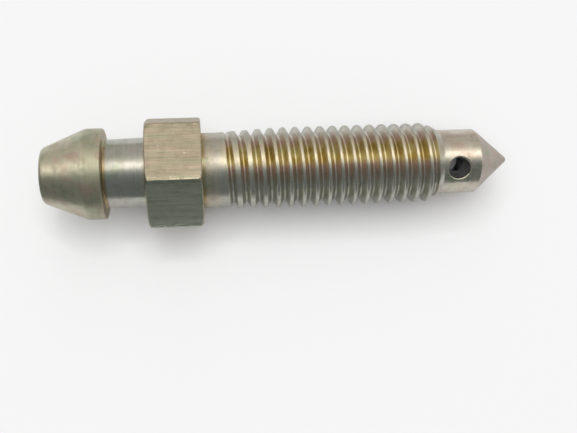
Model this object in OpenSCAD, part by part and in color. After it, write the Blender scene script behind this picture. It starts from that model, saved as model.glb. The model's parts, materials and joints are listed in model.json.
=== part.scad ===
/* [Hose nipple] */
// Diameter of the nipple's end face
nose_d = 5.3; // [4.6:0.1:6]
// Radius of the rounded edge of the end face
nose_edge = 0.5; // [0.2:0.05:0.6]
// Length of the cone that opens the hose
nose_len = 4.2; // [3.4:0.1:5]
// Diameter of the barb that holds the hose
barb_d = 8.8; // [8:0.1:9.4]
// Length of the barb's plain land
barb_len = 1.7; // [1:0.1:2.4]
// Radius of the barb's rear edge
barb_edge = 0.2; // [0.1:0.05:0.4]
// Diameter of the neck just behind the barb
neck_d = 6.6; // [5.8:0.1:7]
// Diameter of the neck where it meets the hexagon
neck_root_d = 6.8; // [6.2:0.1:7.4]
// Length of the neck from the barb to the hexagon
neck_len = 4; // [3:0.1:5.5]

/* [Hexagon] */
// Size across the flats
hex_af = 10; // [9:0.5:12]
// Length of the hexagon
hex_len = 5.3; // [4:0.1:7]
// Diameter at which the corner bevels meet the end faces
hex_face_d = 10.6; // [10.2:0.1:11]
// Angle of the crowned corner bevels to the end faces
hex_bevel = 30; // [20:1:40]

/* [Thread] */
// Diameter of the plain shank beside the hexagon
shank_d = 7.3; // [6.9:0.1:7.6]
// Length of the plain shank
shank_len = 1.4; // [0.6:0.1:3]
// Diameter over the crests
thread_d = 7.97; // [7.8:0.01:8]
// Pitch of the right-hand thread
pitch = 1.25; // [1:0.25:1.5]
// Number of turns of the groove
turns = 17; // [12:1:20]
// Turns over which the crests rise from the shank to the full diameter
rise_turns = 5; // [1:0.5:6]
// Turns over which the groove comes in to its full depth
run_in_turns = 0.5; // [0.25:0.25:1]
// Angle of the lead-in bevel to the axis
lead_angle = 30; // [25:1:40]

/* [Seat end] */
// Diameter of the plain end past the thread
seat_d = 6.45; // [6.2:0.05:6.5]
// Length of the plain end from the thread to the cone
seat_len = 3.4; // [3.4:0.1:5]
// Included angle of the sealing cone
cone_angle = 80; // [60:1:90]
// Radius of the rounded edge where the cone starts
cone_edge = 0.6; // [0.1:0.1:0.8]
// Radius of the cone's blunt tip
cone_tip = 0.35; // [0.1:0.05:0.5]

/* [Fluid passage] */
// Diameter of the passage along the axis
bore_d = 2.1; // [1.5:0.1:2.6]
// Width of the bevel at the passage's mouth
mouth_bevel = 0.3; // [0.1:0.05:0.5]
// Diameter of the cross hole
cross_d = 2.2; // [1.6:0.1:2.4]
// Distance from the cross hole's centre to the start of the cone
cross_back = 2.2; // [1.8:0.1:2.3]
// Turn of the cross hole from a corner of the hexagon
cross_turn = 5.5; // [-30:0.5:30]

/* [Hidden] */
zinc_yellow = [0.66, 0.62, 0.5];

// Smoothness of the turned surfaces, and the facets of the thread in one turn
round_fn = 96;
thread_facets = 36;
arc_steps = 6;
// Angle of a thread flank to the line square to the axis
flank_angle = 30;
// Flat crest and flat root as shares of the pitch
crest_share = 1 / 8;
root_share = 1 / 5;
// Margin between the groove's ends and the thread's end faces
thread_margin = 0.1;
// How far the thread's ends stand above the plain ends that they run into
lip = 0.03;
// How deep the thread's end faces lie inside those plain ends
sink = 0.2;
// Included angle of a drilled hole's bottom
drill_angle = 118;
// How far a cutter stands clear of the surface that it enters
clear = 1;

// Radii
nose_r = nose_d / 2;
barb_r = barb_d / 2;
hex_r = hex_af / 2;
hex_corner_r = hex_r / cos(30);
hex_face_r = hex_face_d / 2;
shank_r = shank_d / 2;
thread_r = thread_d / 2;
seat_r = seat_d / 2;
bore_r = bore_d / 2;

// Stations along the axis, from the nipple's end face
barb_at = nose_len;
neck_at = barb_at + barb_len;
hex_at = neck_at + neck_len;
hex_middle = hex_at + hex_len / 2;
shank_at = hex_at + hex_len;
thread_at = shank_at + shank_len;

// Crown of the hexagon's bevels: how far its centre lies in from the end face, and its radius.
// It passes through the bevel's rim on the end face and its end on the hexagon's corners.
bevel_h = (hex_corner_r - hex_face_r) * tan(hex_bevel);
crown_in = (hex_corner_r + hex_face_r) / (2 * tan(hex_bevel)) + bevel_h / 2;
crown_r = norm([crown_in, hex_face_r]);

// One turn of the thread: crest, flank, root, flank
crest_flat = pitch * crest_share;
root_flat = pitch * root_share;
groove_w = pitch - crest_flat;
flank_w = (groove_w - root_flat) / 2;
root_r = thread_r - flank_w / tan(flank_angle);
start_r = shank_r + lip;
end_r = seat_r + lip;
groove_corners = [0, flank_w, flank_w + root_flat, groove_w];
first_groove = thread_at + thread_margin;
thread_end = first_groove + turns * pitch + groove_w + thread_margin;
lead_end = thread_end - 3 * thread_margin;
lead_start = lead_end - (thread_r - end_r) / tan(lead_angle);

cone_at = thread_end + seat_len;
cone_half = cone_angle / 2;
tip_centre = cone_at + seat_r / tan(cone_half) - cone_tip / sin(cone_half);
edge_centre = cone_at - cone_edge * tan(cone_half / 2);
cross_at = cone_at - cross_back;

// Rest pose: the hexagon lies on a flat, and the last full crest touches the ground
first_crest = first_groove + groove_w + crest_flat;
last_crest = first_crest + pitch * floor((lead_start - first_crest) / pitch);
rest_tilt = atan((hex_r - thread_r) / (last_crest - shank_at));
rest_lift = shank_at * sin(rest_tilt) + hex_r * cos(rest_tilt);
nose_x = nose_edge * cos(rest_tilt) - (nose_r - nose_edge) * sin(rest_tilt) - nose_edge;
tip_x = tip_centre * cos(rest_tilt) + cone_tip;
middle_x = (nose_x + tip_x) / 2;

// Points of an arc around a centre, from one angle to another
function arc(centre, radius, from, to) = [
    for (step = [0:arc_steps])
        let (a = from + (to - from) * step / arc_steps)
        centre + radius * [cos(a), sin(a)]
];

// Crest radius at a station: up from the shank, full, then down the lead-in
function crest_at(s) = max(end_r, min(
    thread_r,
    start_r + (thread_r - start_r) * (s - thread_at) / (rise_turns * pitch),
    end_r + (lead_end - s) * tan(lead_angle)
));

// Root radius after a number of turns of the groove, never above the crest
function root_at(s, turn) = min(
    crest_at(s),
    root_r + (start_r - root_r) * max(0, 1 - turn / run_in_turns)
);

// Corner c of the thread's outline along the axis, on facet i around it
function corner(i, c) =
    let (
        turn = floor(c / 4) + i / thread_facets,
        s = first_groove + turn * pitch + groove_corners[c % 4],
        in_root = c % 4 == 1 || c % 4 == 2,
        r = in_root ? root_at(s, turn) : crest_at(s),
        a = 360 * i / thread_facets
    )
    [r * cos(a), r * sin(a), s];

// Corner of the thread's rims and end faces
function rim_corner(i, r, s) =
    let (a = 360 * i / thread_facets)
    [r * cos(a), r * sin(a), s];

// Two triangles between corner a and the next of its row, and corner b and the next of its own
function cell(a, b) = [[a, b + 1, b], [a, a + 1, b + 1]];

// Barbed nipple and neck as one turned outline, which ends inside the hexagon
module nipple() {
    rotate_extrude($fn = round_fn)
    polygon(concat(
        [[0, 0]],
        arc([nose_r - nose_edge, nose_edge], nose_edge, -90, 0),
        [[barb_r, barb_at]],
        arc([barb_r - barb_edge, neck_at - barb_edge], barb_edge, 0, 90),
        [[neck_d / 2, neck_at], [neck_root_d / 2, hex_at], [neck_root_d / 2, hex_middle], [0, hex_middle]]
    ));
}

// Hexagon for the spanner, its corners bevelled at both ends by a crown turned on the axis
module hexagon() {
    intersection() {
        translate([0, 0, hex_at])
        rotate(30)
        linear_extrude(hex_len)
        circle(r = hex_corner_r, $fn = 6);
        translate([0, 0, hex_at + crown_in])
        sphere(r = crown_r, $fn = round_fn);
        translate([0, 0, shank_at - crown_in])
        sphere(r = crown_r, $fn = round_fn);
    }
}

// Plain shank between the hexagon and the thread, which starts inside the hexagon
module shank() {
    translate([0, 0, hex_middle])
    cylinder(r = shank_r, h = thread_at + thread_margin / 2 - hex_middle, $fn = round_fn);
}

// Right-hand thread as one closed helical surface. Each row of corners runs along one
// facet: end face, rim, the grooves' corners, rim, end face. A row climbs by its share
// of the pitch, so each corner of the last row meets the one four further on the first.
module thread() {
    corners = 4 * turns;
    rim = corners + 2;
    row = corners + 4;
    last = thread_facets - 1;
    points = [
        for (i = [0:last])
            each concat(
                [rim_corner(i, start_r - sink, thread_at - sink), rim_corner(i, start_r, thread_at)],
                [for (c = [0:corners - 1]) corner(i, c)],
                [rim_corner(i, end_r, thread_end), rim_corner(i, end_r - sink, thread_end + sink)]
            )
    ];
    skin = [for (i = [0:last - 1], c = [0:rim]) each cell(i * row + c, (i + 1) * row + c)];
    seam = [for (c = [1:corners - 3]) each cell(last * row + c, c + 4)];
    seam_start = [for (c = [1:4]) [last * row + 1, c + 1, c]];
    seam_end = [for (c = [corners - 2:rim - 1]) [last * row + c, last * row + c + 1, rim]];
    rims = concat(cell(last * row, 0), cell(last * row + rim, rim));
    start_face = [[for (i = [0:last]) i * row]];
    end_face = [[for (i = [last:-1:0]) i * row + rim + 1]];
    polyhedron(points, concat(skin, seam, seam_start, seam_end, rims, start_face, end_face));
}

// Plain end, and sealing cone with its rounded edge and blunt tip
module seat_end() {
    rotate_extrude($fn = round_fn)
    polygon(concat(
        [[0, thread_end - sink / 2], [seat_r, thread_end - sink / 2]],
        arc([seat_r - cone_edge, edge_centre], cone_edge, 0, cone_half),
        arc([0, tip_centre], cone_tip, cone_half, 90)
    ));
}

// Blind passage along the axis with a bevelled mouth, and the cross hole that feeds it
module passages() {
    bore_end = cross_at + bore_r;
    translate([0, 0, -clear])
    cylinder(r = bore_r, h = bore_end + clear, $fn = round_fn);
    translate([0, 0, bore_end])
    cylinder(r1 = bore_r, r2 = 0, h = bore_r / tan(drill_angle / 2), $fn = round_fn);
    cylinder(r1 = bore_r + mouth_bevel, r2 = bore_r, h = mouth_bevel, $fn = round_fn);
    translate([0, 0, cross_at])
    rotate([0, 90, 30 + cross_turn])
    cylinder(d = cross_d, h = 2 * (seat_r + clear), center = true, $fn = round_fn);
}

module bleeder_screw() {
    color(zinc_yellow)
    translate([-middle_x, 0, rest_lift])
    rotate([0, 90 + rest_tilt, 0])
    difference() {
        union() {
            nipple();
            hexagon();
            shank();
            thread();
            seat_end();
        }
        passages();
    }
}

bleeder_screw();
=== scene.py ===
import bpy
import bmesh
import json
import math
from mathutils import Matrix, Vector

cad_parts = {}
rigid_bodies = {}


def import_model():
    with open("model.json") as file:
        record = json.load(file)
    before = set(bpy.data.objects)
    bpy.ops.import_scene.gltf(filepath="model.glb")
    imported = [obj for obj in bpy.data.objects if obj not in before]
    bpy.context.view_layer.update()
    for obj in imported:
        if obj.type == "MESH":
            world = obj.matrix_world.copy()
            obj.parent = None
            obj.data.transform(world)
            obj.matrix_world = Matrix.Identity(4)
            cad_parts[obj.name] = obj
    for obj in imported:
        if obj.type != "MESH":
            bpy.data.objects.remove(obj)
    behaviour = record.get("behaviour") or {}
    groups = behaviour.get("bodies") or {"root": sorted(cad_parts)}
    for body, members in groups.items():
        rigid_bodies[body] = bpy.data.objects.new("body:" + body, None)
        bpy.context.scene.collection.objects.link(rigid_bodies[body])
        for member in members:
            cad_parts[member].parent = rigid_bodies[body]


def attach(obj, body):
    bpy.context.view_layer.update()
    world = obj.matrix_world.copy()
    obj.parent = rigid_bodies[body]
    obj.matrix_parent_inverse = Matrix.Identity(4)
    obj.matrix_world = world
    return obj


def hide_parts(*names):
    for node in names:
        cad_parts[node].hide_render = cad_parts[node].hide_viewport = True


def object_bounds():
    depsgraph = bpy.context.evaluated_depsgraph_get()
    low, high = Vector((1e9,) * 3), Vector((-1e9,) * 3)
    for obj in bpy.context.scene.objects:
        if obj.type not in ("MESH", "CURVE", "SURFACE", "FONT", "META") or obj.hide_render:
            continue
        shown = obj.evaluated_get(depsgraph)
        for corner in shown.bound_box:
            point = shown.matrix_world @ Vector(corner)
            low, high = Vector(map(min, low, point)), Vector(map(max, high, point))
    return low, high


for leftover in list(bpy.data.objects):
    bpy.data.objects.remove(leftover)

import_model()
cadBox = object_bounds()
print("bleeder screw: frame loaded")

mm = 0.001

# The turned blank, in millimetres from the nipple's end face
screw = {
    "noseDiameter": 5.3,
    "noseEdge": 0.5,
    "barbStart": 4.2,
    "barbEnd": 5.9,
    "barbDiameter": 8.8,
    "barbFrontEdge": 0.8,
    "barbRearEdge": 0.2,
    "neckDiameter": 6.6,
    "neckRootDiameter": 6.8,
    "neckFillet": 0.15,
    "hexStart": 9.9,
    "hexEnd": 15.2,
    "shankDiameter": 7.3,
    "threadStart": 16.6,
    "threadEnd": 39.14,
    "seatDiameter": 6.45,
    "coneStart": 42.54,
    "coneAngle": 80,
    "coneEdge": 0.25,
    "tipRadius": 0.35,
    "facets": 108,
    "sharpAngle": 50,
}

# The rolled right-hand thread
thread = {
    "crestDiameter": 7.97,
    "pitch": 1.25,
    "turns": 17,
    "crestShare": 0.19,
    "rootShare": 0.135,
    "crestRounding": 0.19,
    "rootRounding": 0.1,
    "flankAngle": 30,
    "riseTurns": 5,
    "runInTurns": 0.5,
    "margin": 0.1,
    "leadAngle": 30,
    "roundSteps": 3,
    "edgeHold": 0.03,
    "loopSpacing": 0.16,
}

# The hexagon for the spanner
hexagon = {
    "acrossFlats": 10,
    "faceDiameter": 10.6,
    "bevelAngle": 30,
    "cornerRounding": 0.22,
    "rimRounding": 0.12,
    "bevelBlend": 0.06,
    "aroundSteps": 20,
    "alongSteps": 30,
    "rimSteps": 4,
}

# The passage along the axis, and the cross hole that feeds it
passage = {
    "boreDiameter": 2.1,
    "mouthBevel": 0.3,
    "drillAngle": 118,
    "crossDiameter": 2.08,
    "crossBack": 2.2,
    "crossTurn": 5.5,
    "lipRadius": 0.26,
    "lipSweep": 75,
    "lipSteps": 6,
    "facets": 96,
}

# How the closed shapes overlap, clear each other and weld
joins = {
    "shankBack": 1,
    "shankStep": 0.3,
    "hexCoreRadius": 2.2,
    "cutterClear": 1,
    "cutterFlare": 0.1,
    "cutterMiddle": 0.01,
    "unbentReach": 1,
    "spareTurns": 2,
    "seamWeld": 0.001,
    "partWeld": 0.002,
}

# Sizes that follow from the ones above
halfSector = math.radians(30)
flankWidth = (thread["pitch"] * (1 - thread["crestShare"] - thread["rootShare"])) / 2
crestRadius = thread["crestDiameter"] / 2
rootRadius = crestRadius - flankWidth / math.tan(math.radians(thread["flankAngle"]))
seatRadius = screw["seatDiameter"] / 2
shankRadius = screw["shankDiameter"] / 2
boreRadius = passage["boreDiameter"] / 2
leadEnd = screw["threadEnd"] - 3 * thread["margin"]
leadSlope = math.tan(math.radians(thread["leadAngle"]))
leadStart = leadEnd - (crestRadius - seatRadius) / leadSlope
riseSlope = (crestRadius - shankRadius) / (thread["riseTurns"] * thread["pitch"])
firstCrest = screw["threadStart"] + thread["margin"] + thread["pitch"]
lastCrest = firstCrest + thread["pitch"] * math.floor((leadStart - firstCrest) / thread["pitch"])
hexRadius = hexagon["acrossFlats"] / 2
hexFace = hexagon["faceDiameter"] / 2
hexCorner = hexRadius / math.cos(halfSector)
bevelSlope = math.tan(math.radians(hexagon["bevelAngle"]))
crownIn = (hexCorner + hexFace) / (2 * bevelSlope) + (hexCorner - hexFace) * bevelSlope / 2
crownRadius = math.hypot(crownIn, hexFace)
crossAt = screw["coneStart"] - passage["crossBack"]
boreEnd = crossAt + boreRadius

# The axis as it lies: on a flat of the hexagon and on the last full crest
restTilt = math.atan((hexRadius - crestRadius) / (lastCrest - screw["hexEnd"]))
restLift = screw["hexEnd"] * math.sin(restTilt) + hexRadius * math.cos(restTilt)
alongAxis = Vector((math.cos(restTilt), 0, -math.sin(restTilt)))
acrossUp = Vector((math.sin(restTilt), 0, math.cos(restTilt)))

# The nose is at the box's low end
noseLow = (screw["noseEdge"] * (math.cos(restTilt) + math.sin(restTilt) - 1)
           - screw["noseDiameter"] / 2 * math.sin(restTilt))
axisStart = Vector((cadBox[0][0] / mm - noseLow, 0, restLift))
toPlace = Matrix((
    (alongAxis.x, 0, acrossUp.x, axisStart.x),
    (0, 1, 0, 0),
    (alongAxis.z, 0, acrossUp.z, axisStart.z),
    (0, 0, 0, 1),
))
toMetres = Matrix.Scale(mm, 4)


def filletedOutline(corners, steps=5, hold=0.04, spacing=0.5):
    # corners are (station, radius, rounding); each long run between them gets a loop close to its ends
    points = []
    for i, (x, y, rounding) in enumerate(corners):
        here = Vector((x, y))
        if rounding == 0 or i in (0, len(corners) - 1):
            points.append(here)
            continue
        back = (Vector(corners[i - 1][:2]) - here).normalized()
        ahead = (Vector(corners[i + 1][:2]) - here).normalized()
        half = back.angle(ahead) / 2
        centre = here + (back + ahead).normalized() * rounding / math.sin(half)
        start = here + back * rounding / math.tan(half) - centre
        sweep = start.angle_signed(here + ahead * rounding / math.tan(half) - centre)
        for k in range(steps + 1):
            turned = start.copy()
            turned.rotate(Matrix.Rotation(-sweep * k / steps, 2))
            points.append(centre + turned)
    held = [points[0]]
    longRun = 6 * hold
    for a, b in zip(points, points[1:]):
        run = (b - a).length
        if run > longRun:
            inner = max(1, round(run / spacing))
            held.append(a.lerp(b, hold / run))
            held += [a.lerp(b, k / (inner + 1)) for k in range(1, inner + 1)]
            held.append(b.lerp(a, hold / run))
        held.append(b)
    return held


def linkedObject(name, data):
    piece = bpy.data.objects.new(name, data)
    bpy.context.collection.objects.link(piece)
    return piece


def appliedMesh(piece):
    # The mesh that the piece's modifier makes; the modifier is taken away
    ready = piece.evaluated_get(bpy.context.evaluated_depsgraph_get())
    mesh = bpy.data.meshes.new_from_object(ready)
    piece.modifiers.clear()
    return mesh


def feed(tree, socket, value):
    # Links a socket to another node's output, or sets it to a plain value
    if isinstance(value, bpy.types.NodeSocket):
        tree.links.new(value, socket)
    else:
        socket.default_value = value


def addNode(tree, kind, settings=None, **sockets):
    # A node with its settings, and its inputs by name, with an underscore for each space
    node = tree.nodes.new(kind)
    for name, value in (settings or {}).items():
        setattr(node, name, value)
    for name, value in sockets.items():
        feed(tree, node.inputs[name.replace("_", " ")], value)
    return node


def calc(tree, operation, *values):
    # A Math node; more than two values are taken one after the other
    if len(values) > 2:
        values = (calc(tree, operation, *values[:-1]), values[-1])
    node = addNode(tree, "ShaderNodeMath", {"operation": operation})
    for socket, value in zip(node.inputs, values):
        feed(tree, socket, value)
    return node.outputs[0]


def newTree(name, numbers):
    # A tree with a geometry input, one named input for each number, and a geometry output
    tree = bpy.data.node_groups.new(name, "GeometryNodeTree")
    tree.interface.new_socket("Outline", in_out="INPUT", socket_type="NodeSocketGeometry")
    for label, kind in numbers:
        tree.interface.new_socket(label, in_out="INPUT", socket_type=kind)
    tree.interface.new_socket("Finish", in_out="INPUT", socket_type="NodeSocketMaterial")
    tree.interface.new_socket("Skin", in_out="OUTPUT", socket_type="NodeSocketGeometry")
    return tree, tree.nodes.new("NodeGroupInput").outputs, tree.nodes.new("NodeGroupOutput")


def gridRows(tree, rows, columns):
    # A grid with each point's row and column; the half keeps the division off whole numbers
    grid = addNode(tree, "GeometryNodeMeshGrid", Vertices_X=rows, Vertices_Y=columns)
    index = tree.nodes.new("GeometryNodeInputIndex").outputs[0]
    row = calc(tree, "FLOOR", calc(tree, "DIVIDE", calc(tree, "ADD", index, 0.5), columns))
    column = calc(tree, "SUBTRACT", index, calc(tree, "MULTIPLY", row, columns))
    return grid.outputs["Mesh"], row, column


def outlinePoint(tree, outline, column):
    # Station and radius of the outline's point with that number
    position = tree.nodes.new("GeometryNodeInputPosition").outputs[0]
    sample = addNode(tree, "GeometryNodeSampleIndex", {"data_type": "FLOAT_VECTOR"}, Geometry=outline,
                     Value=position, Index=column)
    split = addNode(tree, "ShaderNodeSeparateXYZ", Vector=sample.outputs["Value"])
    return split.outputs["X"], split.outputs["Y"]


def wrapSkin(tree, mesh, finish, output, station, radius, angle):
    # Puts every point at its station, radius and angle from the underside, closes the seams, sets the finish
    sideways = calc(tree, "MULTIPLY", radius, calc(tree, "SINE", angle))
    upwards = calc(tree, "MULTIPLY", radius, calc(tree, "COSINE", angle), -1)
    place = addNode(tree, "ShaderNodeCombineXYZ", X=station, Y=sideways, Z=upwards).outputs[0]
    moved = addNode(tree, "GeometryNodeSetPosition", Geometry=mesh, Position=place).outputs[0]
    welded = addNode(tree, "GeometryNodeMergeByDistance", Geometry=moved, Distance=joins["seamWeld"])
    real = addNode(tree, "GeometryNodeRealizeInstances", Geometry=welded.outputs[0]).outputs[0]
    painted = addNode(tree, "GeometryNodeSetMaterial", Geometry=real, Material=finish).outputs[0]
    tree.links.new(painted, output.inputs[0])


def turningTree():
    # Turns an outline once round the axis
    numbers = [("Facets", "NodeSocketInt"), ("Points", "NodeSocketInt")]
    tree, given, output = newTree("turnedOutline", numbers)
    rows = calc(tree, "ADD", given["Facets"], 1)
    mesh, row, column = gridRows(tree, rows, given["Points"])
    station, radius = outlinePoint(tree, given["Outline"], column)
    angle = calc(tree, "DIVIDE", calc(tree, "MULTIPLY", row, 2 * math.pi), given["Facets"])
    wrapSkin(tree, mesh, given["Finish"], output, station, radius, angle)
    return tree


def threadTree():
    # Sweeps one pitch of the thread's outline along its helix, between two rings on the plain ends
    whole = ["Facets", "Points", "Rows", "Spare turns"]
    floats = ["Pitch", "Start", "End", "Shank radius", "Crest radius", "Root radius", "Seat radius",
              "Rise slope", "Lead end", "Lead slope", "Margin", "Run in"]
    numbers = [(label, "NodeSocketInt") for label in whole] + [(label, "NodeSocketFloat") for label in floats]
    tree, given, output = newTree("rolledThread", numbers)
    mesh, row, column = gridRows(tree, given["Rows"], given["Points"])
    offset, depth = outlinePoint(tree, given["Outline"], column)

    # The helix climbs freely, and the spare turns at both ends lie flat in the rings
    turn = calc(tree, "SUBTRACT", calc(tree, "DIVIDE", row, given["Facets"]), given["Spare turns"])
    climbed = calc(tree, "MULTIPLY", turn, given["Pitch"])
    free = calc(tree, "ADD", climbed, offset, given["Start"], given["Margin"])
    station = calc(tree, "MAXIMUM", given["Start"], calc(tree, "MINIMUM", given["End"], free))

    # Crests rise from the shank and run down at the lead-in
    along = calc(tree, "SUBTRACT", station, given["Start"])
    rising = calc(tree, "ADD", given["Shank radius"], calc(tree, "MULTIPLY", along, given["Rise slope"]))
    left = calc(tree, "SUBTRACT", given["Lead end"], station)
    leading = calc(tree, "ADD", given["Seat radius"], calc(tree, "MULTIPLY", left, given["Lead slope"]))
    crest = calc(tree, "MINIMUM", given["Crest radius"], rising, leading)
    crest = calc(tree, "MAXIMUM", crest, given["Seat radius"])

    # The groove fades in over its first part of a turn
    share = calc(tree, "DIVIDE", turn, given["Run in"])
    fade = calc(tree, "MAXIMUM", 0.0, calc(tree, "MINIMUM", 1.0, share))
    full = calc(tree, "SUBTRACT", given["Crest radius"], given["Root radius"])
    cut = calc(tree, "MULTIPLY", depth, fade, full)
    radius = calc(tree, "MINIMUM", crest, calc(tree, "SUBTRACT", given["Crest radius"], cut))
    angle = calc(tree, "MULTIPLY", turn, 2 * math.pi)
    wrapSkin(tree, mesh, given["Finish"], output, station, radius, angle)
    return tree


def madeBy(tree, name, points, finish, values):
    # Runs a tree on an outline and returns the result as a plain mesh
    outline = bpy.data.meshes.new(name)
    outline.from_pydata([(p[0], p[1], 0) for p in points], [], [])
    source = linkedObject(name, outline)
    modifier = source.modifiers.new(name, "NODES")
    modifier.node_group = tree
    sockets = {item.name: item.identifier for item in tree.interface.items_tree if item.in_out == "INPUT"}
    modifier[sockets["Finish"]] = finish
    modifier[sockets["Points"]] = len(points)
    for label, value in values.items():
        modifier[sockets[label]] = value
    mesh = appliedMesh(source)
    bpy.data.objects.remove(source)
    return mesh


def nippleOutline():
    # Nose, barb, neck, and the shank that starts inside the hexagon
    nose = screw["noseDiameter"] / 2
    barb = screw["barbDiameter"] / 2
    neckRoot = screw["neckRootDiameter"] / 2
    shankIn = screw["hexEnd"] - joins["shankBack"]
    return filletedOutline([
        (0, 0, 0),
        (0, nose, screw["noseEdge"]),
        (screw["barbStart"], barb, screw["barbFrontEdge"]),
        (screw["barbEnd"], barb, screw["barbRearEdge"]),
        (screw["barbEnd"], screw["neckDiameter"] / 2, screw["neckFillet"]),
        (screw["hexStart"], neckRoot, 0),
        (shankIn, neckRoot, 0),
        (shankIn + joins["shankStep"], shankRadius, 0),
        (screw["threadStart"], shankRadius, 0),
    ])


def seatOutline():
    # Plain end and cone; the tip's rounding stays just under the radius at which its arc would meet the axis
    half = math.radians(screw["coneAngle"] / 2)
    point = screw["coneStart"] + seatRadius / math.tan(half)
    tip = screw["tipRadius"]
    blunt = point - tip / math.sin(half) + tip
    return filletedOutline([
        (screw["threadEnd"], seatRadius, 0),
        (screw["coneStart"], seatRadius, screw["coneEdge"]),
        (blunt, (point - blunt) * math.tan(half), 0.999 * tip),
        (blunt, 0, 0),
    ])


def pitchOutline():
    # One pitch between the middles of two crests: down, root, up; the second number is the share of the depth
    depth = crestRadius - rootRadius
    halfCrest = thread["pitch"] * thread["crestShare"] / 2
    rootEnd = flankWidth + thread["pitch"] * thread["rootShare"]
    groove = rootEnd + flankWidth
    line = filletedOutline([
        (-halfCrest, depth, 0),
        (0, depth, thread["crestRounding"]),
        (flankWidth, 0, thread["rootRounding"]),
        (rootEnd, 0, thread["rootRounding"]),
        (groove, depth, thread["crestRounding"]),
        (groove + halfCrest, depth, 0),
    ], thread["roundSteps"], thread["edgeHold"], thread["loopSpacing"])
    return [(p[0], 1 - p[1] / depth) for p in line]


def threadSizes():
    turns = thread["turns"] + 2 * joins["spareTurns"]
    return {
        "Facets": screw["facets"],
        "Rows": turns * screw["facets"] + 1,
        "Spare turns": joins["spareTurns"],
        "Pitch": thread["pitch"],
        "Start": screw["threadStart"],
        "End": screw["threadEnd"],
        "Shank radius": shankRadius,
        "Crest radius": crestRadius,
        "Root radius": rootRadius,
        "Seat radius": seatRadius,
        "Rise slope": riseSlope,
        "Lead end": leadEnd,
        "Lead slope": leadSlope,
        "Margin": thread["margin"],
        "Run in": thread["runInTurns"],
    }


def hexagonRim(turned, station):
    # Radius of the rounded hexagon at an angle from the middle of a flat, less the end bevels
    core = (hexRadius - hexagon["cornerRounding"]) / math.cos(halfSector)
    if hexRadius * math.tan(abs(turned)) <= core / 2:
        radius = hexRadius / math.cos(turned)
    else:
        fromCorner = halfSector - abs(turned)
        inside = hexagon["cornerRounding"] ** 2 - (core * math.sin(fromCorner)) ** 2
        radius = core * math.cos(fromCorner) + math.sqrt(max(0, inside))
    fromEnd = min(station - screw["hexStart"], screw["hexEnd"] - station)
    bevelled = math.sqrt(crownRadius ** 2 - (crownIn - fromEnd) ** 2)
    blend = max(0, hexagon["bevelBlend"] - abs(bevelled - radius))
    return min(radius, bevelled) - blend * blend / (4 * hexagon["bevelBlend"])


def closeAtEnds(k, steps):
    # Share from -1 to 1 that runs close together at both ends
    return math.sin(math.pi * (k / steps - 0.5))


def hexagonMesh():
    # Rows run round the six sectors and columns along, both closer together where edges are
    start, end = screw["hexStart"], screw["hexEnd"]
    rim, aroundSteps, alongSteps = hexagon["rimRounding"], hexagon["aroundSteps"], hexagon["alongSteps"]
    turns = [halfSector * closeAtEnds(k, aroundSteps) for k in range(aroundSteps)]
    quarter = [math.pi / 2 * k / hexagon["rimSteps"] for k in range(hexagon["rimSteps"] + 1)]
    front = [(start + rim * (1 - math.cos(q)), rim * (1 - math.sin(q))) for q in quarter]
    middle = (start + end) / 2
    reach = (end - start) / 2 - rim
    along = [(middle + reach * closeAtEnds(k, alongSteps), 0) for k in range(1, alongSteps)]
    back = [(start + end - s, inset) for s, inset in reversed(front)]
    shape = bmesh.new()
    rows = []
    for sector in range(6):
        for turned in turns:
            angle = 2 * halfSector * sector + turned
            spots = [(start, joins["hexCoreRadius"])]
            spots += [(s, hexagonRim(turned, s) - inset) for s, inset in front + along + back]
            spots.append((end, joins["hexCoreRadius"]))
            rows.append([shape.verts.new((s, r * math.sin(angle), -r * math.cos(angle))) for s, r in spots])
    for row, after in zip(rows, rows[1:] + rows[:1]):
        for k in range(len(row) - 1):
            shape.faces.new((row[k], row[k + 1], after[k + 1], after[k]))
    shape.faces.new([row[0] for row in rows])
    shape.faces.new([row[-1] for row in reversed(rows)])
    bmesh.ops.recalc_face_normals(shape, faces=shape.faces)
    mesh = bpy.data.meshes.new("hexagon")
    shape.to_mesh(mesh)
    shape.free()
    return mesh


def passageOutline():
    # The blind bore, from outside its 45 degree mouth to the drill point
    bevel, clear = passage["mouthBevel"], joins["cutterClear"]
    drillTip = boreEnd + boreRadius / math.tan(math.radians(passage["drillAngle"] / 2))
    return filletedOutline([
        (-clear, 0, 0),
        (-clear, boreRadius + bevel + clear, 0),
        (bevel, boreRadius, 0),
        (boreEnd, boreRadius, 0),
        (drillTip, 0, 0),
    ])


def crossOutline():
    # A plain hole whose ends turn outwards in a small round lip
    hole, lip, steps = passage["crossDiameter"] / 2, passage["lipRadius"], passage["lipSteps"]
    arc = [math.radians(passage["lipSweep"] * k / steps) for k in range(steps + 1)]
    flare = [(seatRadius - lip * (1 - math.sin(q)), hole + lip * (1 - math.cos(q))) for q in arc]
    end = seatRadius + joins["cutterClear"]
    wide = flare[-1][1] + joins["cutterFlare"]
    half = [(joins["cutterMiddle"], hole)] + flare + [(end, wide), (end, 0)]
    return filletedOutline([(-x, r, 0) for x, r in reversed(half)] + [(x, r, 0) for x, r in half])


def saddled(mesh, across):
    # Lowers the cutter's ends so that the lip follows the round surface that the hole enters
    for point in mesh.vertices:
        reach = min(abs(point.co.y * across[0] + point.co.z * across[1]), seatRadius)
        if abs(point.co.x) > joins["unbentReach"]:
            drop = seatRadius - math.sqrt(seatRadius ** 2 - reach ** 2)
            point.co.x -= math.copysign(drop, point.co.x)


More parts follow.
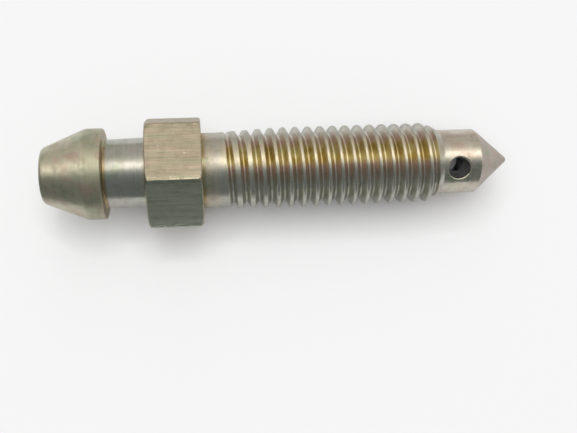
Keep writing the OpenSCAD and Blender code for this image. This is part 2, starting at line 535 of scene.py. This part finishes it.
def meshObject(name, *meshes):
    # One closed shape from meshes that meet at their rings
    shape = bmesh.new()
    for mesh in meshes:
        shape.from_mesh(mesh)
    bmesh.ops.remove_doubles(shape, verts=shape.verts, dist=joins["partWeld"])
    bmesh.ops.recalc_face_normals(shape, faces=shape.faces)
    openEdges = sum(1 for edge in shape.edges if len(edge.link_faces) != 2)
    joined = bpy.data.meshes.new(name)
    shape.to_mesh(joined)
    shape.free()
    print(name, len(joined.vertices), "points,", openEdges, "open edges")
    return linkedObject(name, joined)


def combine(body, tool, operation):
    # Adds or cuts one closed shape, and takes the tool away
    modifier = body.modifiers.new(operation, "BOOLEAN")
    modifier.operation = operation
    modifier.solver = "MANIFOLD"
    modifier.object = tool
    body.data = appliedMesh(body)
    bpy.data.objects.remove(tool)


def crossDrill(turned, finish, around):
    # The cross hole's cutter, laid through the plain end at its angle from the underside
    angle = halfSector + math.radians(passage["crossTurn"])
    mesh = madeBy(turned, "cross", crossOutline(), finish, around)
    saddled(mesh, (math.cos(angle), math.sin(angle)))
    cutter = meshObject("crossDrill", mesh)
    lengthwise = Vector((0, math.sin(angle), -math.cos(angle)))
    turnedAcross = Vector((1, 0, 0)).rotation_difference(lengthwise).to_matrix().to_4x4()
    cutter.data.transform(Matrix.Translation((crossAt, 0, 0)) @ turnedAcross)
    return cutter


def screwSkin(finish):
    turned, rolled = turningTree(), threadTree()
    around = {"Facets": screw["facets"]}
    body = meshObject(
        "turnedBlank",
        madeBy(turned, "nipple", nippleOutline(), finish, around),
        madeBy(rolled, "thread", pitchOutline(), finish, threadSizes()),
        madeBy(turned, "seatEnd", seatOutline(), finish, around),
    )
    drill = {"Facets": passage["facets"]}
    bore = madeBy(turned, "passage", passageOutline(), finish, drill)
    combine(body, meshObject("hexagonBar", hexagonMesh()), "UNION")
    combine(body, meshObject("passageDrill", bore), "DIFFERENCE")
    combine(body, crossDrill(turned, finish, drill), "DIFFERENCE")
    mesh = body.data
    bpy.data.objects.remove(body)
    mesh.transform(toMetres @ toPlace)
    mesh.materials.clear()
    mesh.materials.append(finish)
    for face in mesh.polygons:
        face.use_smooth = True
        face.material_index = 0
    mesh.set_sharp_from_angle(angle=math.radians(screw["sharpAngle"]))
    return linkedObject("bleederScrewSkin", mesh)


# Yellow passivated zinc on turned steel, with painted highlights and painted shade: colours as seen on a
# screen
platingAndPaintedLight = {
    "nose": (200, 196, 174),
    "barb": (184, 182, 160),
    "neck": (186, 186, 178),
    "hexagon": (180, 171, 149),
    # Painted shade: the hexagon's front flat, darker and greener than the others
    "frontFlatShade": (164, 172, 156),
    "shank": (200, 190, 172),
    "thread": (190, 189, 178),
    "groove": (210, 210, 200),
    # Painted shade: the thread's lower grooves
    "lowGrooveShade": (170, 170, 158),
    "seat": (207, 200, 186),
    "corner": (166, 144, 100),
    "cone": (194, 184, 175),
    # Painted highlights: the thread's crests and grooves near the top
    "goldCrestHighlight": (212, 204, 178),
    "goldGrooveHighlight": (205, 196, 156),
    # Painted shade: patches in the thread's grooves near the top
    "goldGrooveShade": (177, 157, 104),
    # Painted highlight: the thread's grooves just below the top
    "roseGrooveHighlight": (204, 184, 170),
    "blush": (196, 172, 158),
    "green": (166, 176, 150),
    "smudge": (194, 191, 181),
    "nick": (214, 212, 200),
    # Painted shade: inside the bore and the cross hole, grey and darker
    "hole": (156, 156, 158),
}

# Zones along the screw: each station's colour and roughness, with even changes between them
zones = [
    (0, "nose"), (3.9, "nose"), (4.6, "barb"), (5.84, "barb"), (5.94, "corner"), (6.04, "corner"),
    (6.3, "neck"), (9.5, "neck"), (10, "hexagon"), (15.21, "hexagon"), (15.24, "corner"), (15.36, "corner"),
    (15.6, "shank"), (17, "thread"), (38.6, "thread"), (39.6, "seat"), (42.5, "seat"), (42.7, "cone"),
]
zonesEnd = screw["coneStart"] + 4

# Roughness by zone, and on the surfaces that the masks pick out
turnedRoughness = {
    "nose": 0.33, "barb": 0.43, "neck": 0.2, "corner": 0.3, "hexagon": 0.3, "shank": 0.42, "thread": 0.29,
    "seat": 0.21, "cone": 0.5,
}
finishRoughness = {"onHex": 0.46, "onEdge": 0.2, "inGroove": 0.33, "onCone": 0.5, "inHole": 0.6}

# Colours in the thread by height round the screw, from 0 at the sides to 1 on top: painted highlights in gold
# and rose near the top, painted shade in the lower grooves
crestColours = [(0.9, "thread"), (0.985, "goldCrestHighlight")]
grooveColours = [(0.35, "lowGrooveShade"), (0.6, "groove"), (0.93, "roseGrooveHighlight"), (0.985, "goldGrooveHighlight")]

# Patterns in the metal: how fine they are along and around the screw, then scale, detail and roughness
patterns = {
    "worn": (1.1, 0.6, 1.0, 3.0, 0.6),
    "clouds": (0.45, 0.8, 0.8, 4.0, 0.6),
    "streaks": (0.2, 2.2, 1.0, 5.0, 0.7),
    # Noise that breaks the painted shade in the grooves into patches
    "grooveShade": (1.0, 0.5, 1.1, 3.0, 0.6),
    "smudges": (1.0, 1.0, 1.3, 6.0, 0.65),
    "rings": (14.0, 0.25, 1.0, 4.0, 0.7),
    "wideRings": (3.2, 0.12, 1.0, 3.0, 0.6),
    "lines": (0.3, 8.0, 1.0, 4.0, 0.7),
    "wideLines": (0.12, 2.6, 1.0, 3.0, 0.6),
    "fine": (1.0, 1.0, 16.0, 3.0, 0.6),
}

# The level of a pattern at which its marks start, and the level at which they are full
levels = {
    "worn": (0.4, 0.56),
    "blush": (0.5, 0.66),
    "green": (0.47, 0.34),
    # Painted shade in the grooves: its noise levels, and the heights near the top where it shows
    "grooveShade": (0.44, 0.6),
    "grooveShadeHeight": (0.92, 0.985),
    "smudges": (0.42, 0.72),
}

# How strongly each mark shows, from 0 to 1
strengths = {
    "blush": 0.6,
    "blushOnNeck": 0.15,
    "green": 0.6,
    # Painted shade on the hexagon's front flat
    "frontFlatShade": 0.8,
    # Painted shade in the grooves
    "grooveShade": 0.85,
    "smudges": 0.35,
    "nicks": 0.55,
}

# Depth of the marks in millimetres: turned rings, lines drawn along the hexagon, grain and nicks
turnedRelief = {"rings": 0.008, "wideRings": 0.0176}
drawnRelief = {"lines": 0.016, "wideLines": 0.0256}
grainDepth = 0.0022
nickDepth = 0.02

# What the tone of turned and of drawn metal follows, how far it goes, and what the roughness follows
turnedTone = {"wideRings": 0.5, "rings": 0.5}
drawnTone = {"wideLines": 0.35, "lines": 0.35, "streaks": 0.3}
toneReach = {"turned": 0.5, "drawn": 1.5}
roughnessReach = {"rings": 0.14, "smudges": 0.1, "clouds": 0.2}

# Where a mask is 0 and where it is 1, in millimetres from the edge that it follows
fades = {
    "hexStart": (0.02, 0.12),
    "hexEnd": (-0.02, -0.12),
    "hexSides": (-0.3, -0.1),
    "hexCorner": (-0.21, -0.15),
    "hexFront": (-0.1, -0.03),
    "neckStart": (0, 0.3),
    "neckEnd": (0, -0.1),
    "threadStart": (0, 0.8),
    "groove": (0.03, 0.2),
    "coneStart": (0.02, 0.1),
    "boreWall": (0.15, 0.07),
    "boreEnd": (0.46, -0.04),
    "crossDepth": (-0.275, -0.425),
    "crossStart": (-1.6, -1.5),
    "crossEnd": (1.7, 1.6),
}
threadEndFade = 0.2

# Small bright nicks: station, angle round from the underside, radius
nicks = [
    (13.6, 183, 0.16), (11.2, 174, 0.1), (14.4, 200, 0.12), (7.6, 168, 0.1), (3.1, 150, 0.13),
    (21.4, 172, 0.12), (28.9, 195, 0.14), (35.6, 178, 0.12), (38.4, 140, 0.18), (41.9, 190, 0.09),
    (5.1, 205, 0.12), (16.1, 186, 0.08),
]
nickEdge = 0.12
nickCore = 0.4


def paletteColour(name):
    # One of the colours, made linear for a shader
    return tuple((part / 255) ** 2.2 for part in platingAndPaintedLight[name]) + (1,)


def newMaterial(name):
    material = bpy.data.materials.new(name)
    material.use_nodes = True
    material.node_tree.nodes.clear()
    return material, material.node_tree


def ramp(tree, value, stops):
    # A colour for each place between 0 and 1
    node = addNode(tree, "ShaderNodeValToRGB", Fac=value)
    marks = node.color_ramp.elements
    while len(marks) < len(stops):
        marks.new(0.5)
    for mark, (place, colour) in zip(marks, stops):
        mark.position = place
        mark.color = colour
    return node.outputs["Color"]


def mixed(tree, factor, first, second, mode="MIX"):
    # Mixes two colours
    node = addNode(tree, "ShaderNodeMix", {"data_type": "RGBA", "blend_type": mode})
    for number, value in ((0, factor), (6, first), (7, second)):
        feed(tree, node.inputs[number], value)
    return node.outputs[2]


def blended(tree, factor, first, second):
    # Mixes two numbers
    node = addNode(tree, "ShaderNodeMix", {"data_type": "FLOAT"})
    for number, value in ((0, factor), (2, first), (3, second)):
        feed(tree, node.inputs[number], value)
    return node.outputs[0]


def step(tree, value, low, high):
    # 0 at the low end and 1 at the high end, with a soft change between them
    settings = {"interpolation_type": "SMOOTHSTEP"}
    node = addNode(tree, "ShaderNodeMapRange", settings, Value=value, From_Min=low, From_Max=high)
    return node.outputs["Result"]


def turnedPoint(tree):
    # The place on the screw as it was turned, in millimetres: station on the axis, side and height
    seen = tree.nodes.new("ShaderNodeTexCoord").outputs["Object"]
    origin = toPlace.inverted().translation
    return addNode(tree, "ShaderNodeMapping", Vector=seen, Scale=(1 / mm,) * 3, Rotation=(0, -restTilt, 0),
                   Location=origin).outputs[0]


def patternHere(tree, point, name):
    along, around, scale, detail, rough = patterns[name]
    stretched = addNode(tree, "ShaderNodeMapping", Vector=point, Scale=(along, around, around)).outputs[0]
    noise = addNode(tree, "ShaderNodeTexNoise", Vector=stretched, Scale=scale, Detail=detail, Roughness=rough)
    return noise.outputs["Fac"]


def weighed(tree, seen, weights):
    # The sum of patterns, each times its weight
    parts = [calc(tree, "MULTIPLY", seen[name], weight) for name, weight in weights.items()]
    return calc(tree, "ADD", *parts)


def finishMasks(tree, point, seen):
    # How much a place belongs to each surface, from 0 to 1, with its station and its height round the screw
    station, side, height = addNode(tree, "ShaderNodeSeparateXYZ", Vector=point).outputs
    squares = [calc(tree, "MULTIPLY", part, part) for part in (side, height)]
    radius = calc(tree, "SQRT", calc(tree, "ADD", *squares))

    def past(value, edge, name):
        low, high = fades[name]
        return step(tree, value, edge + low, edge + high)

    onHex = calc(tree, "MULTIPLY", past(station, screw["hexStart"], "hexStart"),
                 past(station, screw["hexEnd"], "hexEnd"), past(radius, hexRadius, "hexSides"))
    worn = step(tree, seen["worn"], *levels["worn"])
    facing = calc(tree, "SUBTRACT", calc(tree, "MULTIPLY", height, math.sin(halfSector)),
                  calc(tree, "MULTIPLY", side, math.cos(halfSector)))
    onThread = calc(tree, "MULTIPLY", past(station, screw["threadStart"], "threadStart"),
                    step(tree, station, leadEnd + threadEndFade, leadStart))
    risen = calc(tree, "MULTIPLY", calc(tree, "SUBTRACT", station, screw["threadStart"]), riseSlope)
    led = calc(tree, "MULTIPLY", calc(tree, "SUBTRACT", leadEnd, station), leadSlope)
    crestHere = calc(tree, "MINIMUM", calc(tree, "ADD", risen, shankRadius),
                     calc(tree, "ADD", led, seatRadius), crestRadius)
    belowCrest = calc(tree, "SUBTRACT", crestHere, radius)
    inBore = calc(tree, "MULTIPLY", past(radius, boreRadius, "boreWall"),
                  past(station, screw["coneStart"], "boreEnd"))
    inCross = calc(tree, "MULTIPLY", past(radius, seatRadius, "crossDepth"),
                   past(station, crossAt, "crossStart"), past(station, crossAt, "crossEnd"))
    return {
        "station": station,
        "heightShare": calc(tree, "DIVIDE", height, radius),
        "onHex": onHex,
        "offHex": calc(tree, "SUBTRACT", 1.0, onHex),
        "onEdge": calc(tree, "MULTIPLY", onHex, past(radius, hexCorner, "hexCorner"), worn),
        "onFront": calc(tree, "MULTIPLY", onHex, past(facing, hexRadius, "hexFront")),
        "onNeck": calc(tree, "MULTIPLY", past(station, screw["barbEnd"], "neckStart"),
                       past(station, screw["hexStart"], "neckEnd")),
        "onThread": onThread,
        "inGroove": calc(tree, "MULTIPLY", onThread, past(belowCrest, 0, "groove")),
        "onCone": past(station, screw["coneStart"], "coneStart"),
        "inHole": calc(tree, "MAXIMUM", inBore, inCross),
        "smudges": step(tree, seen["smudges"], *levels["smudges"]),
    }


def nickMask(tree, point, fine):
    # 1 in the nicks, which lie on the hexagon, on the crests or on the turned metal
    ragged = calc(tree, "MULTIPLY", fine, nickEdge)
    struck = 0.0
    for station, around, size in nicks:
        angle = math.radians(around)
        reach = shankRadius
        if screw["hexStart"] < station < screw["hexEnd"]:
            reach = hexRadius
        elif screw["threadStart"] < station < leadStart:
            reach = crestRadius
        away = tree.nodes.new("ShaderNodeVectorMath")
        away.operation = "DISTANCE"
        tree.links.new(point, away.inputs[0])
        away.inputs[1].default_value = (station, reach * math.sin(angle), -reach * math.cos(angle))
        distance = calc(tree, "ADD", away.outputs["Value"], ragged)
        struck = calc(tree, "MAXIMUM", struck, step(tree, distance, size + nickEdge, size * nickCore))
    return struck


def threadColour(tree, mask, seen):
    # Painted highlights in gold and rose near the top, greyer down the sides with painted shade in the lower
    # grooves, and patches of painted shade in the grooves near the top
    def byHeight(stops):
        return ramp(tree, mask["heightShare"], [(place, paletteColour(name)) for place, name in stops])

    # Patches of painted shade in the grooves, only near the top
    grooveShadeShare = calc(tree, "MULTIPLY", mask["inGroove"], step(tree, seen["grooveShade"], *levels["grooveShade"]),
                 step(tree, mask["heightShare"], *levels["grooveShadeHeight"]), strengths["grooveShade"])
    grooves = mixed(tree, grooveShadeShare, byHeight(grooveColours), paletteColour("goldGrooveShade"))
    return mixed(tree, mask["inGroove"], byHeight(crestColours), grooves)


def metalColour(tree, along, mask, seen):
    # The zones' colours, with clouds of the passivation's interference colours, painted shade on the
    # hexagon's front flat, the thread's painted highlights and shade, and smudges
    colour = ramp(tree, along, [(station / zonesEnd, paletteColour(name)) for station, name in zones])
    patches = blended(tree, mask["onHex"], seen["clouds"], seen["streaks"])
    blushing = blended(tree, mask["onNeck"], strengths["blush"], strengths["blushOnNeck"])
    washes = [
        ("blush", calc(tree, "MULTIPLY", step(tree, patches, *levels["blush"]), blushing)),
        ("green", calc(tree, "MULTIPLY", step(tree, patches, *levels["green"]), strengths["green"])),
        # Painted shade on the hexagon's front flat
        ("frontFlatShade", calc(tree, "MULTIPLY", mask["onFront"], strengths["frontFlatShade"])),
    ]
    for name, share in washes:
        colour = mixed(tree, share, colour, paletteColour(name))
    colour = mixed(tree, mask["onThread"], colour, threadColour(tree, mask, seen))
    share = calc(tree, "MULTIPLY", mask["smudges"], strengths["smudges"])
    return mixed(tree, share, colour, paletteColour("smudge"), "MULTIPLY")


def markTone(tree, mask, seen):
    # How much lighter or darker the rings and drawn lines make the metal
    tones = []
    for weights, reach in ((turnedTone, toneReach["turned"]), (drawnTone, toneReach["drawn"])):
        centred = calc(tree, "SUBTRACT", weighed(tree, seen, weights), 0.5)
        tones.append(calc(tree, "MULTIPLY", centred, reach))
    tone = calc(tree, "ADD", 1.0, blended(tree, mask["onHex"], *tones))
    return addNode(tree, "ShaderNodeCombineXYZ", X=tone, Y=tone, Z=tone).outputs[0]


def metalRelief(tree, mask, seen, struck):
    # Turning marks run round, drawn lines run along the hexagon, and nicks are dished
    onDrawn = calc(tree, "SUBTRACT", mask["onHex"], mask["onEdge"])
    turned = calc(tree, "MULTIPLY", weighed(tree, seen, turnedRelief), mask["offHex"])
    drawn = calc(tree, "MULTIPLY", weighed(tree, seen, drawnRelief), onDrawn)
    grain = calc(tree, "MULTIPLY", seen["fine"], grainDepth)
    relief = calc(tree, "ADD", turned, drawn, grain)
    return calc(tree, "SUBTRACT", relief, calc(tree, "MULTIPLY", struck, nickDepth))


def metalRoughness(tree, along, mask, seen):
    stops = [(station / zonesEnd, (turnedRoughness[name],) * 3 + (1,)) for station, name in zones]
    swings = [calc(tree, "MULTIPLY", calc(tree, "SUBTRACT", seen[name], 0.5), roughnessReach[name])
              for name in ("rings", "clouds")]
    smudged = calc(tree, "MULTIPLY", mask["smudges"], roughnessReach["smudges"])
    rough = calc(tree, "ADD", ramp(tree, along, stops), smudged, *swings)
    for name, there in finishRoughness.items():
        rough = blended(tree, mask[name], rough, there)
    return rough


def yellowZinc():
    material, tree = newMaterial("yellowZinc")
    point = turnedPoint(tree)
    seen = {name: patternHere(tree, point, name) for name in patterns}
    mask = finishMasks(tree, point, seen)
    along = calc(tree, "DIVIDE", mask["station"], zonesEnd)
    struck = nickMask(tree, point, seen["fine"])
    colour = metalColour(tree, along, mask, seen)
    colour = mixed(tree, 1.0, colour, markTone(tree, mask, seen), "MULTIPLY")
    bright = calc(tree, "MULTIPLY", struck, strengths["nicks"])
    colour = mixed(tree, bright, colour, paletteColour("nick"))
    # Painted shade inside the bore and the cross hole
    colour = mixed(tree, mask["inHole"], colour, paletteColour("hole"))
    relief = metalRelief(tree, mask, seen, struck)
    bump = addNode(tree, "ShaderNodeBump", Height=relief, Distance=mm, Strength=1.0).outputs[0]
    rough = metalRoughness(tree, along, mask, seen)
    metal = addNode(tree, "ShaderNodeBsdfPrincipled", Base_Color=colour, Metallic=1.0, Roughness=rough,
                    Normal=bump)
    addNode(tree, "ShaderNodeOutputMaterial", Surface=metal.outputs[0])
    return material


# A softbox over a pale table, and the panels and flags that only the metal mirrors, in millimetres
studio = {
    "softboxElevation": 109,
    "softboxDistance": 300,
    "softboxLength": 560,
    "softboxWidth": 130,
    "softboxLevel": 1.5,
    "roomLevel": 0.62,
    "tableReach": 3000,
    "tableColour": 0.96,
    "tableGlow": 0.6,
    "mirroredGlow": 0.12,
    "contactReach": 4.5,
    "contactPower": 3.0,
    "contactSamples": 16,
    "tentRadius": 450,
    "tentLength": 1600,
    "tentSteps": 48,
    "tentEndFade": 1,
    "flagHeight": 1,
    "flagEdge": 17,
    "noseFlagGap": 5,
    "noseFlagBack": 2,
    "cool": (0.93, 1.0, 0.99),
    "warm": (1.0, 0.95, 0.89),
    "farEnd": 0.12,
}

# Elevation over the camera side's horizon in degrees, how bright the tent is there, and its tint
tentPanels = [
    (0, 0.2, "cool"), (40, 0.21, "cool"), (58, 0.27, "cool"), (70, 0.42, "cool"), (78, 0.8, "warm"),
    (85, 1.7, "warm"), (90, 2.05, "warm"), (100, 2.05, "warm"), (108, 1.05, "warm"), (124, 0.68, "warm"),
    (150, 0.6, "warm"), (180, 0.53, "warm"),
]


def seenDirectly(tree, mirrored):
    # 1 for rays that show the background straight, and the given share for rays that mirror it
    path = tree.nodes.new("ShaderNodeLightPath").outputs
    inMirror = calc(tree, "MULTIPLY", path["Is Glossy Ray"], mirrored)
    return calc(tree, "MAXIMUM", path["Is Camera Ray"], path["Is Transmission Ray"], inMirror)


def floorPlane():
    # A pale table that glows a little, except close to the object, where it keeps the contact shadow
    mesh = bpy.data.meshes.new("tableTop")
    half = studio["tableReach"] * mm
    corners = [(-half, -half, 0), (half, -half, 0), (half, half, 0), (-half, half, 0)]
    mesh.from_pydata(corners, [], [(0, 1, 2, 3)])
    material, tree = newMaterial("paleTable")
    matt = addNode(tree, "ShaderNodeBsdfDiffuse", Color=(studio["tableColour"],) * 3 + (1,))
    white = addNode(tree, "ShaderNodeEmission", Color=(1, 1, 1, 1), Strength=1.0)
    mix = tree.nodes.new("ShaderNodeMixShader")
    near = addNode(tree, "ShaderNodeAmbientOcclusion", {"samples": studio["contactSamples"]},
                   Distance=studio["contactReach"] * mm)
    clear = calc(tree, "POWER", near.outputs["AO"], studio["contactPower"])
    shown = seenDirectly(tree, studio["mirroredGlow"] / studio["tableGlow"])
    glow = calc(tree, "MULTIPLY", shown, studio["tableGlow"], clear)
    for socket, value in zip(mix.inputs, (glow, matt.outputs[0], white.outputs[0])):
        tree.links.new(value, socket)
    addNode(tree, "ShaderNodeOutputMaterial", Surface=mix.outputs[0])
    mesh.materials.append(material)
    piece = linkedObject("tableTop", mesh)


def mirroredOnly(name, points, faces):
    # A glowing piece of the studio that only mirrored rays see; returns its tree and its colour's socket
    mesh = bpy.data.meshes.new(name)
    mesh.from_pydata([tuple(v * mm for v in point) for point in points], [], faces)
    piece = linkedObject(name, mesh)
    piece.visible_camera = False
    piece.visible_diffuse = False
    piece.visible_shadow = False
    piece.visible_transmission = False
    piece.visible_volume_scatter = False
    material, tree = newMaterial(name)
    glow = addNode(tree, "ShaderNodeEmission", Strength=1.0)
    addNode(tree, "ShaderNodeOutputMaterial", Surface=glow.outputs[0])
    mesh.materials.append(material)
    return tree, glow.inputs["Color"]


def panelColour(level, tint):
    return tuple(level * part for part in studio[tint]) + (1,)


def reflectionTent():
    # A half tube of soft panels round the object, dark at the end past its nose
    radius, half, steps = studio["tentRadius"], studio["tentLength"] / 2, studio["tentSteps"]
    points = []
    for k in range(steps + 1):
        angle = math.pi * k / steps
        for x in (-half, half):
            points.append((x, -radius * math.cos(angle), radius * math.sin(angle)))
    faces = [(2 * k, 2 * k + 1, 2 * k + 3, 2 * k + 2) for k in range(steps)]
    faces += [tuple(2 * k + side for k in range(steps + 1)) for side in (0, 1)]
    tree, colour = mirroredOnly("reflectionTent", points, faces)
    seen = tree.nodes.new("ShaderNodeTexCoord").outputs["Object"]
    x, y, z = addNode(tree, "ShaderNodeSeparateXYZ", Vector=seen).outputs
    elevation = calc(tree, "DIVIDE", calc(tree, "ARCTAN2", z, calc(tree, "MULTIPLY", y, -1.0)), math.pi)
    panels = ramp(tree, elevation, [(at / 180, panelColour(level, tint)) for at, level, tint in tentPanels])
    beyondNose = step(tree, x, (studio["tentEndFade"] - half) * mm, -half * mm)
    tree.links.new(mixed(tree, beyondNose, panels, panelColour(studio["farEnd"], "cool")), colour)


def darkFlag():
    # A flag as dark as the tent's lowest panel, low over the table in front of the object and past its nose
    half, far, near = studio["tentLength"] / 2, -studio["tentRadius"], -studio["flagEdge"]
    left = cadBox[0][0] / mm - studio["noseFlagGap"]
    back, high = studio["noseFlagBack"], studio["flagHeight"]
    outline = [(-half, far), (half, far), (half, near), (left, near), (left, back), (-half, back)]
    points = [(x, y, high) for x, y in outline]
    tree, colour = mirroredOnly("darkFlag", points, [tuple(range(len(points)))])
    colour.default_value = panelColour(*tentPanels[0][1:])


def softbox():
    light = bpy.data.lights.new("softbox", "AREA")
    light.shape = "RECTANGLE"
    light.size = studio["softboxLength"] * mm
    light.size_y = studio["softboxWidth"] * mm
    light.energy = studio["softboxLevel"] * math.pi * light.size * light.size_y
    lamp = linkedObject("softbox", light)
    angle = math.radians(studio["softboxElevation"])
    toward = Vector((0, -math.cos(angle), math.sin(angle)))
    lamp.location = toward * studio["softboxDistance"] * mm
    lamp.rotation_euler = toward.to_track_quat("Z", "X").to_euler()
    lamp.visible_glossy = False


def paleRoom():
    # White behind the object, and a soft even level of light on it
    world = bpy.data.worlds.new("paleRoom")
    world.use_nodes = True
    bpy.context.scene.world = world
    tree = world.node_tree
    gain = calc(tree, "MULTIPLY", seenDirectly(tree, 1), 1 - studio["roomLevel"])
    background = tree.nodes["Background"]
    background.inputs["Color"].default_value = (1, 1, 1, 1)
    tree.links.new(calc(tree, "ADD", gain, studio["roomLevel"]), background.inputs["Strength"])


# Where the photograph was taken from: pixels of a picture 577 wide, millimetres and degrees
photo = {
    "width": 577,
    "focalPixels": 770,
    "distance": 76.7,
    "aimStation": 23.75,
    "aimUp": 49.3,
    "axisTurn": 6.5,
    "roll": 2.5,
    "elevation": 71.5,
    "sensorWidth": 36,
    "nearest": 5,
}


def photoCamera():
    # The view in which the axis, the photograph's upward line and the line to the camera are square
    raised = math.radians(photo["elevation"])
    toward = Vector((0, -math.cos(raised), 0)) + acrossUp * math.sin(raised)
    upward = Vector((0, math.sin(raised), 0)) + acrossUp * math.cos(raised)
    world = Matrix((alongAxis, upward, toward))
    turn = Matrix.Rotation(math.radians(photo["axisTurn"]), 3, "Y")
    roll = Matrix.Rotation(math.radians(photo["roll"]), 3, "Z")
    toWorld = (roll @ turn @ world).transposed()
    distance = photo["distance"]
    aim = Vector((0, photo["aimUp"] / photo["focalPixels"] * distance, -distance))
    subject = toPlace @ Vector((photo["aimStation"], 0, 0))
    data = bpy.data.cameras.new("photoCamera")
    data.sensor_width = photo["sensorWidth"]
    data.lens = photo["focalPixels"] / photo["width"] * data.sensor_width
    data.clip_start = photo["nearest"] * mm
    camera = linkedObject("photoCamera", data)
    camera.matrix_world = Matrix.Translation((subject - toWorld @ aim) * mm) @ toWorld.to_4x4()
    bpy.context.scene.camera = camera


photoCamera()
floorPlane()
reflectionTent()
darkFlag()
softbox()
paleRoom()
bpy.context.scene.view_settings.view_transform = "Standard"
print("bleeder screw: camera, table and light set")

skin = screwSkin(yellowZinc())
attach(skin, "root")
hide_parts("bleeder_screw")
print("bleeder screw: skin made,", len(skin.data.polygons), "faces")
